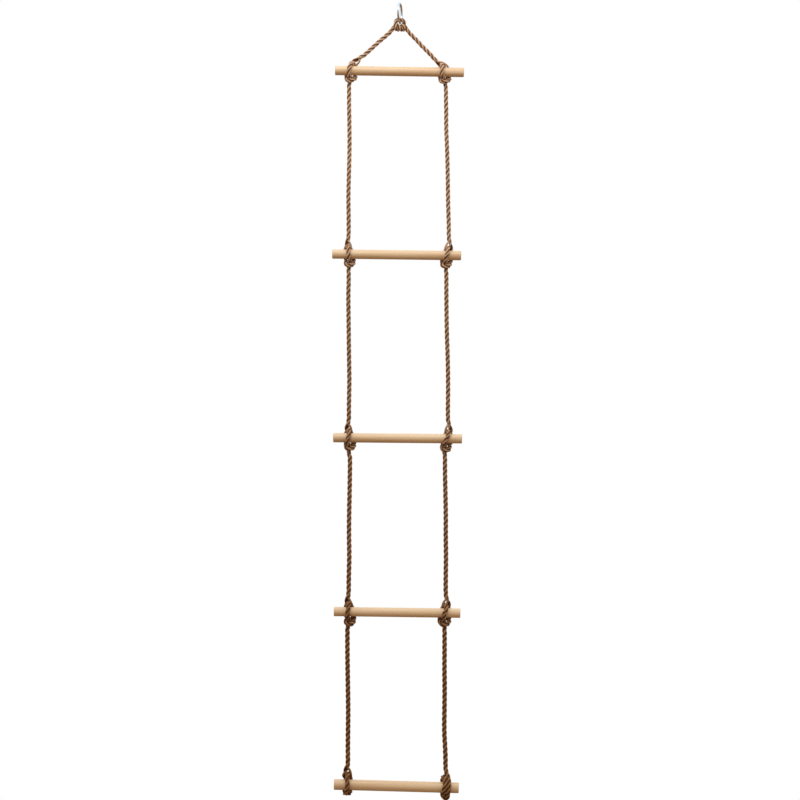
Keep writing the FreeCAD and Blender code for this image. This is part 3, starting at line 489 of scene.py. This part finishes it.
def strand_mesh(rows, name):
    """Round strands with the ridges of their yarns, as one mesh.

    A row is (line, radius, outward, down, seed, tapers, place, loose, way): the strand's middle, its
    radius and the direction away from the rope's middle at each point, the distance down the rope
    from the ring, a seed, whether each end is a cut end, the place along the whole rope, 1 for
    a strand that is out of the lay, and its direction at each point (or None).  UV map "lay" runs with the yarns, in turns and metres; UV map
    "side" has the turn from the rope's outside and the distance down the rope."""
    verts, faces, lay, side_uv, flat = [], [], [], [], []
    turn = np.arange(SIDES) * 2 * math.pi / SIDES
    for line, radius, outward, down, seed, tapers, place, loose, way in rows:
        m = len(line)
        t = tangents(line) if way is None else way
        a = outward - (outward * t).sum(1)[:, None] * t
        a /= np.linalg.norm(a, axis=1, keepdims=True)
        b = np.cross(t, a)
        s = np.asarray(place, float)
        from_start = lengths(line)
        twist = -2 * math.pi * s / YARN_LAY + seed * 2.3
        r = np.array(radius, float)
        if tapers[0]:
            r = r * (0.84 + 0.16 * np.minimum(1.0, from_start / 0.003))
        if tapers[1]:
            r = r * (0.84 + 0.16 * np.minimum(1.0, (from_start[-1] - from_start) / 0.003))
        ridge = np.abs(np.cos(YARNS / 2 * (turn[None, :] + twist[:, None])))
        rr = r[:, None] * (1 - YARN_DEPTH + YARN_DEPTH * 1.5 * ridge)
        ring = line[:, None, :] + rr[:, :, None] * (np.cos(turn)[None, :, None] * a[:, None, :]
                                                    + np.sin(turn)[None, :, None] * b[:, None, :])
        base = len(verts)
        verts += list(ring.reshape(-1, 3))
        spin = twist / (2 * math.pi)
        for i in range(m - 1):
            w0, w1 = spin[i], spin[i + 1]
            for j in range(SIDES):
                j2 = (j + 1) % SIDES
                faces.append((base + i * SIDES + j, base + i * SIDES + j2,
                              base + (i + 1) * SIDES + j2, base + (i + 1) * SIDES + j))
                u0, u1 = j / SIDES, (j + 1) / SIDES
                # 0 on a strand's outside, 0.5 on its side facing the rope's middle; the rope material turns this into
                # painted shade in the grooves, less of it on a strand out of the lay
                c0, c1 = min(u0, 1 - u0) * (1 - loose), min(u1, 1 - u1) * (1 - loose)
                lay += [(u0 + w0, s[i]), (u1 + w0, s[i]), (u1 + w1, s[i + 1]), (u0 + w1, s[i + 1])]
                side_uv += [(c0, down[i]), (c1, down[i]), (c1, down[i + 1]), (c0, down[i + 1])]
        for i, cut_end in ((0, tapers[0]), (m - 1, tapers[1])):
            first = base + i * SIDES
            centre = len(verts)
            away = (line[0] - line[1]) if i == 0 else (line[-1] - line[-2])
            away = away / (np.linalg.norm(away) + 1e-12) * r[i] * (0.30 if cut_end else 0.0)
            verts.append(line[i] + away)
            for j in range(SIDES):
                p, q = first + j, first + (j + 1) % SIDES
                flat.append(len(faces))
                faces.append((q, p, centre) if i == 0 else (p, q, centre))
                lay += [(0.1 * j, s[i]), (0.1 * j + 0.1, s[i]), (0.1 * j + 0.05, s[i] + 0.002)]
                # the cap faces sit part way into the painted groove shade
                side_uv += [(0.15, down[i]), (0.15, down[i]), (0.28, down[i])]
    mesh = bpy.data.meshes.new(name)
    mesh.from_pydata([tuple(v) for v in verts], [], faces)
    for key, values in (("lay", lay), ("side", side_uv)):
        layer = mesh.uv_layers.new(name=key)
        layer.data.foreach_set("uv", np.array(values, np.float32).ravel())
    smooth = np.ones(len(mesh.polygons), bool)
    smooth[flat] = False
    mesh.polygons.foreach_set("use_smooth", smooth)
    rims = {key for i in flat for key in mesh.polygons[i].edge_keys}
    for edge in mesh.edges:
        if edge.key in rims:
            edge.use_edge_sharp = True
    mesh.update()
    obj = bpy.data.objects.new(name, mesh)
    scene.collection.objects.link(obj)
    return obj

# ------------------------------------------------------------- cutting to pieces
def mid_index(key_a, key_b):
    return (BEND_AT[key_a] + BEND_AT[key_b]) // 2


PIECE = {}
for side in ("left", "right"):
    for n in range(1, 6):
        above = mid_index("head_" + side, "above_1_" + side) if n == 1 else \
            mid_index("below_%d_%s" % (n - 1, side), "above_%d_%s" % (n, side))
        if n < 5:
            b = BEND_AT["below_%d_%s" % (n, side)]
            sgn = 1 if side == "left" else -1            # towards the knot
            below = b + sgn * int(round(0.020 / STEP))
        else:
            below = 0 if side == "left" else N - 1
        PIECE[n, side] = (above, below)


def cut(a, b):
    lo, hi = min(a, b), max(a, b)
    return slice(lo, hi + 1)


# ------------------------------------------------------------------- materials
def nodes_of(material):
    material.use_nodes = True
    tree = material.node_tree
    tree.nodes.clear()
    return tree


def new(tree, kind, **values):
    node = tree.nodes.new(kind)
    for key, value in values.items():
        setattr(node, key, value)
    return node


def ramp(tree, stops, interpolation="LINEAR"):
    node = tree.nodes.new("ShaderNodeValToRGB")
    node.color_ramp.interpolation = interpolation
    while len(node.color_ramp.elements) > 1:
        node.color_ramp.elements.remove(node.color_ramp.elements[-1])
    node.color_ramp.elements[0].position = stops[0][0]
    node.color_ramp.elements[0].color = (*stops[0][1], 1)
    for place, colour in stops[1:]:
        e = node.color_ramp.elements.new(place)
        e.color = (*colour, 1)
    return node


def math_node(tree, operation, a, b=None, clamp=False):
    node = new(tree, "ShaderNodeMath", operation=operation, use_clamp=clamp)
    for socket, value in zip(node.inputs, (a, b)):
        if value is None:
            continue
        if isinstance(value, (int, float)):
            socket.default_value = value
        else:
            tree.links.new(value, socket)
    return node.outputs[0]


def mix_colour(tree, factor, a, b, blend="MIX"):
    node = new(tree, "ShaderNodeMix", data_type="RGBA", blend_type=blend)
    for socket, value in ((node.inputs[0], factor), (node.inputs[6], a), (node.inputs[7], b)):
        if isinstance(value, (int, float)):
            socket.default_value = value
        elif isinstance(value, tuple):
            socket.default_value = (*value, 1)
        else:
            tree.links.new(value, socket)
    return node.outputs[2]


def scaled(tree, vector, scale):
    node = new(tree, "ShaderNodeMapping")
    node.inputs["Scale"].default_value = scale
    tree.links.new(vector, node.inputs[0])
    return node.outputs[0]


def noise(tree, vector, scale=1.0, detail=2.0, roughness=0.5):
    node = new(tree, "ShaderNodeTexNoise")
    node.inputs["Scale"].default_value = scale
    node.inputs["Detail"].default_value = detail
    node.inputs["Roughness"].default_value = roughness
    tree.links.new(vector, node.inputs["Vector"])
    return node.outputs[0]


def rope_material():
    """Laid manila: fibre, yarn and patch tone, with painted shade in the grooves between strands against paler crowns,
    and painted shade making it darker towards the ground.
    """
    material = bpy.data.materials.new("manila")
    t = nodes_of(material)
    out = new(t, "ShaderNodeOutputMaterial")
    shader = new(t, "ShaderNodeBsdfPrincipled")
    t.links.new(shader.outputs[0], out.inputs[0])
    uv = new(t, "ShaderNodeUVMap", uv_map="lay").outputs[0]
    side = new(t, "ShaderNodeUVMap", uv_map="side").outputs[0]
    fibre = noise(t, scaled(t, uv, (34.0, 140.0, 1.0)), detail=3.0, roughness=0.6)
    yarn = noise(t, scaled(t, uv, (YARNS * 1.0, 16.0, 1.0)), detail=1.0)
    patch = noise(t, scaled(t, uv, (0.7, 60.0, 1.0)), detail=2.0)
    parts = new(t, "ShaderNodeSeparateXYZ")
    t.links.new(side, parts.inputs[0])
    crown = math_node(t, "COSINE", math_node(t, "MULTIPLY", parts.outputs[0], 2 * math.pi))
    # -1 inside the lay, 1 on the crown of a strand: the mask that darkens the grooves between strands with painted
    # shade
    level = math_node(t, "ADD", math_node(t, "MULTIPLY", crown, 0.60), 0.17)
    level = math_node(t, "ADD", level, math_node(t, "MULTIPLY", math_node(t, "SUBTRACT", fibre, 0.5), 0.75))
    level = math_node(t, "ADD", level, math_node(t, "MULTIPLY", math_node(t, "SUBTRACT", yarn, 0.5), 0.55))
    level = math_node(t, "ADD", level, math_node(t, "MULTIPLY", math_node(t, "SUBTRACT", patch, 0.5), 0.35), clamp=True)
    tone = ramp(t, ROPE_TONES)
    t.links.new(level, tone.inputs[0])
    # painted shade, darker further down the rope
    low = math_node(t, "DIVIDE", parts.outputs[1], ROPE_LOW_AT, clamp=True)
    shade = ramp(t, ROPE_PAINTED_FALLOFF)
    t.links.new(low, shade.inputs[0])
    t.links.new(mix_colour(t, 1.0, tone.outputs[0], shade.outputs[0], "MULTIPLY"), shader.inputs["Base Color"])
    shader.inputs["Roughness"].default_value = 0.75
    shader.inputs["Specular IOR Level"].default_value = 0.10
    shader.inputs["Sheen Weight"].default_value = 0.03
    shader.inputs["Sheen Roughness"].default_value = 0.6
    bump = new(t, "ShaderNodeBump")
    bump.inputs["Strength"].default_value = 0.5
    bump.inputs["Distance"].default_value = 0.0004
    t.links.new(fibre, bump.inputs["Height"])
    t.links.new(bump.outputs[0], shader.inputs["Normal"])
    return material


def wood_material():
    material = bpy.data.materials.new("dowel_wood")
    t = nodes_of(material)
    out = new(t, "ShaderNodeOutputMaterial")
    shader = new(t, "ShaderNodeBsdfPrincipled")
    t.links.new(shader.outputs[0], out.inputs[0])
    place = new(t, "ShaderNodeTexCoord")
    long_way = new(t, "ShaderNodeMapping")
    long_way.inputs["Scale"].default_value = (9.0, 260.0, 260.0)
    t.links.new(place.outputs["Object"], long_way.inputs[0])
    grain = new(t, "ShaderNodeTexNoise")
    grain.inputs["Scale"].default_value = 1.0
    grain.inputs["Detail"].default_value = 5.0
    grain.inputs["Roughness"].default_value = 0.6
    t.links.new(long_way.outputs[0], grain.inputs["Vector"])
    broad_map = new(t, "ShaderNodeMapping")
    broad_map.inputs["Scale"].default_value = (3.5, 55.0, 55.0)
    t.links.new(place.outputs["Object"], broad_map.inputs[0])
    broad = new(t, "ShaderNodeTexNoise")
    broad.inputs["Scale"].default_value = 1.0
    broad.inputs["Detail"].default_value = 2.0
    t.links.new(broad_map.outputs[0], broad.inputs["Vector"])
    both = math_node(t, "ADD", math_node(t, "MULTIPLY", grain.outputs[0], 0.45), math_node(t, "MULTIPLY", broad.outputs[0], 0.55))
    tone = ramp(t, WOOD_TONES)
    t.links.new(both, tone.inputs[0])
    # end grain: rings about a pith outside the dowel
    geo = new(t, "ShaderNodeNewGeometry")
    split = new(t, "ShaderNodeSeparateXYZ")
    t.links.new(geo.outputs["Normal"], split.inputs[0])
    facing = math_node(t, "ABSOLUTE", split.outputs[0])
    is_end = math_node(t, "GREATER_THAN", facing, 0.85)
    rings = new(t, "ShaderNodeTexWave", wave_type="RINGS", rings_direction="X")
    rings.inputs["Scale"].default_value = 160.0
    rings.inputs["Distortion"].default_value = 1.5
    rings.inputs["Detail"].default_value = 2.0
    t.links.new(place.outputs["Object"], rings.inputs["Vector"])
    end_tone = ramp(t, END_TONES)
    t.links.new(rings.outputs["Color"], end_tone.inputs[0])
    t.links.new(mix_colour(t, is_end, tone.outputs[0], end_tone.outputs[0]), shader.inputs["Base Color"])
    rough = math_node(t, "ADD", math_node(t, "MULTIPLY", grain.outputs[0], 0.2), 0.30)
    t.links.new(rough, shader.inputs["Roughness"])
    shader.inputs["Specular IOR Level"].default_value = 0.5
    bump = new(t, "ShaderNodeBump")
    bump.inputs["Strength"].default_value = 0.15
    bump.inputs["Distance"].default_value = 0.0004
    t.links.new(grain.outputs[0], bump.inputs["Height"])
    t.links.new(bump.outputs[0], shader.inputs["Normal"])
    return material


def steel_material():
    material = bpy.data.materials.new("steel_wire")
    t = nodes_of(material)
    out = new(t, "ShaderNodeOutputMaterial")
    shader = new(t, "ShaderNodeBsdfPrincipled")
    t.links.new(shader.outputs[0], out.inputs[0])
    place = new(t, "ShaderNodeTexCoord")
    noise = new(t, "ShaderNodeTexNoise")
    noise.inputs["Scale"].default_value = 420.0
    noise.inputs["Detail"].default_value = 4.0
    t.links.new(place.outputs["Object"], noise.inputs["Vector"])
    tone = ramp(t, [(0.3, (0.50, 0.51, 0.53)), (0.7, (0.74, 0.75, 0.77))])
    t.links.new(noise.outputs[0], tone.inputs[0])
    t.links.new(tone.outputs[0], shader.inputs["Base Color"])
    shader.inputs["Metallic"].default_value = 1.0
    rough = math_node(t, "ADD", math_node(t, "MULTIPLY", noise.outputs[0], 0.12), 0.14)
    t.links.new(rough, shader.inputs["Roughness"])
    return material


# rope colours from the painted shade of the grooves between strands (low end) to the paler crowns (high end), with
# fibre, yarn and patch tone mixed in
ROPE_TONES = [(0.0, (0.130, 0.033, 0.006)), (0.30, (0.260, 0.098, 0.034)), (0.62, (0.500, 0.290, 0.155)),
              (0.88, (0.740, 0.530, 0.370)), (1.0, (0.840, 0.650, 0.490))]
ROPE_LOW_AT = 2.30         # metres down the rope
# painted shade: the rope's colour is multiplied darker towards the ground, in place of the light falling off down the
# ladder
ROPE_PAINTED_FALLOFF = [(0.0, (1.0, 1.0, 1.0)), (0.24, (1.0, 1.0, 1.0)), (0.48, (0.76, 0.72, 0.65)),
              (0.72, (0.57, 0.47, 0.36)), (0.957, (0.43, 0.31, 0.165)), (1.0, (0.42, 0.30, 0.16))]
WOOD_TONES = [(0.30, (0.640, 0.365, 0.170)), (0.50, (0.750, 0.470, 0.245)), (0.70, (0.820, 0.550, 0.315))]
END_TONES = [(0.0, (0.530, 0.310, 0.145)), (1.0, (0.720, 0.470, 0.255))]
ROPE, WOOD, STEEL = rope_material(), wood_material(), steel_material()

# ---------------------------------------------------------------------- pieces
STRAND_WAYS = [tangents(strand) for strand in strands]


def rope_piece(name, a, b, tapered=(False, False), opened=None):
    part = cut(a, b)
    rows = []
    for k in range(3):
        spans = [(part.start, part.stop)]
        if opened and opened[0] == k:
            lo, hi = sorted(opened[1:])
            spans = [(part.start, lo + 1), (hi, part.stop)]
        for lo, hi in spans:
            cut_ends = (tapered[0] and lo == part.start, tapered[1] and hi == part.stop)
            rows.append((strands[k][lo:hi], (STRAND_R * THICK)[lo:hi], outwards[k][lo:hi], DOWN[lo:hi],
                         k + 1.0, cut_ends, S[lo:hi], 0.0, STRAND_WAYS[k][lo:hi]))
    obj = strand_mesh(rows, name)
    obj.data.materials.append(ROPE)
    return obj, LINE[part]


made = {}
# head knot with the upper half of each bridle leg
a = mid_index("head_left", "above_1_left")
b = mid_index("head_right", "above_1_right")
obj, path = rope_piece("rope_head_knot", a, b)
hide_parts("head_knot")
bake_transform(obj)
made["head"] = obj

for side in ("left", "right"):
    for n in range(1, 6):
        a, b = PIECE[n, side]
        tapered = (n == 5 and side == "left", n == 5 and side == "right")
        opened = OPEN.get((n, side))
        obj, path = rope_piece("rope_hitch_%d_%s" % (n, side), a, b, tapered=tapered, opened=opened)
        if opened:
            stray = strand_mesh([stray_row((n, side), opened[0] + 1.0)], "strand_round_%d_%s" % (n, side))
            stray.data.materials.append(ROPE)
            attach(stray, "rung_%d" % n)
        if n == 1:
            d = np.array(BEND["above_1_" + side]) - np.array(BEND["head_" + side])
            d /= np.linalg.norm(d)
            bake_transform(obj)
            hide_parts("hitch_1_" + side, "bridle_leg_" + side)
        else:
            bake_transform(obj)
            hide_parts("hitch_%d_%s" % (n, side))
        if n < 5:
            top = PIECE[n, side][1]
            low = PIECE[n + 1, side][0]
            obj, path = rope_piece("rope_bay_%d_%s" % (n, side), top, low)
            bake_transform(obj)
            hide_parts("side_rope_%d_%s" % (n, side))

for n in range(1, 6):
    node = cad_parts["rung_%d" % n]
    node.data.materials.clear()
    node.data.materials.append(WOOD)
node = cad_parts["hanging_ring"]
node.data.materials.clear()
node.data.materials.append(STEEL)

# ----------------------------------------------------------------------- stage
def emission(name, colour, strength):
    material = bpy.data.materials.new(name)
    t = nodes_of(material)
    out = new(t, "ShaderNodeOutputMaterial")
    glow = new(t, "ShaderNodeEmission")
    glow.inputs[0].default_value = (*colour, 1)
    glow.inputs[1].default_value = strength
    clear = new(t, "ShaderNodeBsdfTransparent")
    side_of = new(t, "ShaderNodeNewGeometry")
    mix = new(t, "ShaderNodeMixShader")
    t.links.new(side_of.outputs["Backfacing"], mix.inputs[0])
    t.links.new(glow.outputs[0], mix.inputs[1])
    t.links.new(clear.outputs[0], mix.inputs[2])
    t.links.new(mix.outputs[0], out.inputs[0])
    return material


FLOOR_Z = -2.60
mesh = bpy.data.meshes.new("floor")
corner = 40.0
mesh.from_pydata([(-corner, -corner, FLOOR_Z), (corner, -corner, FLOOR_Z), (corner, corner, FLOOR_Z), (-corner, corner, FLOOR_Z)],
                 [], [(0, 1, 2, 3)])
floor = bpy.data.objects.new("floor", mesh)
floor.data.materials.append(emission("pale_floor", (1, 1, 1), 1.0))
floor.visible_diffuse = False
floor.visible_glossy = False
floor.visible_shadow = False
scene.collection.objects.link(floor)
floor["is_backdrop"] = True

# a large soft light above, and a little warm light from below
SKY = [(0.0, (0.20, 0.11, 0.055)), (0.25, (0.30, 0.22, 0.14)), (0.5, (0.60, 0.56, 0.51)), (0.75, (0.92, 1.05, 1.18)), (1.0, (1.10, 1.35, 1.60))]
world = bpy.data.worlds.new("studio")
scene.world = world
world.use_nodes = True
t = world.node_tree
t.nodes.clear()
out = new(t, "ShaderNodeOutputWorld")
seen = new(t, "ShaderNodeBackground")
seen.inputs[0].default_value = (1, 1, 1, 1)
seen.inputs[1].default_value = 1.0
lit = new(t, "ShaderNodeBackground")
where = new(t, "ShaderNodeTexCoord")
parts = new(t, "ShaderNodeSeparateXYZ")
t.links.new(where.outputs["Generated"], parts.inputs[0])
height = math_node(t, "ADD", math_node(t, "MULTIPLY", parts.outputs[2], 0.5), 0.5)
sky = ramp(t, SKY)
t.links.new(height, sky.inputs[0])
t.links.new(sky.outputs[0], lit.inputs[0])
lit.inputs[1].default_value = 1.0
ray = new(t, "ShaderNodeLightPath")
mix = new(t, "ShaderNodeMixShader")
t.links.new(ray.outputs["Is Camera Ray"], mix.inputs[0])
t.links.new(lit.outputs[0], mix.inputs[1])
t.links.new(seen.outputs[0], mix.inputs[2])
t.links.new(mix.outputs[0], out.inputs[0])


def area_light(name, place, target, size, energy, colour=(1, 1, 1)):
    data = bpy.data.lights.new(name, "AREA")
    data.shape = "RECTANGLE"
    data.size, data.size_y = size
    data.energy = energy
    data.color = colour
    obj = bpy.data.objects.new(name, data)
    obj.location = place
    obj.rotation_euler = (Vector(target) - Vector(place)).to_track_quat("-Z", "Y").to_euler()
    scene.collection.objects.link(obj)
    return obj


area_light("key", (-0.30, -1.30, 1.60), (0, 0, -0.9), (1.8, 1.2), 26.0, (1.0, 1.0, 1.0))
scene.view_settings.view_transform = "Standard"
scene.view_settings.look = "None"
scene.view_settings.exposure = 0.0
scene.view_settings.gamma = 1.0

lo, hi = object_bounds()
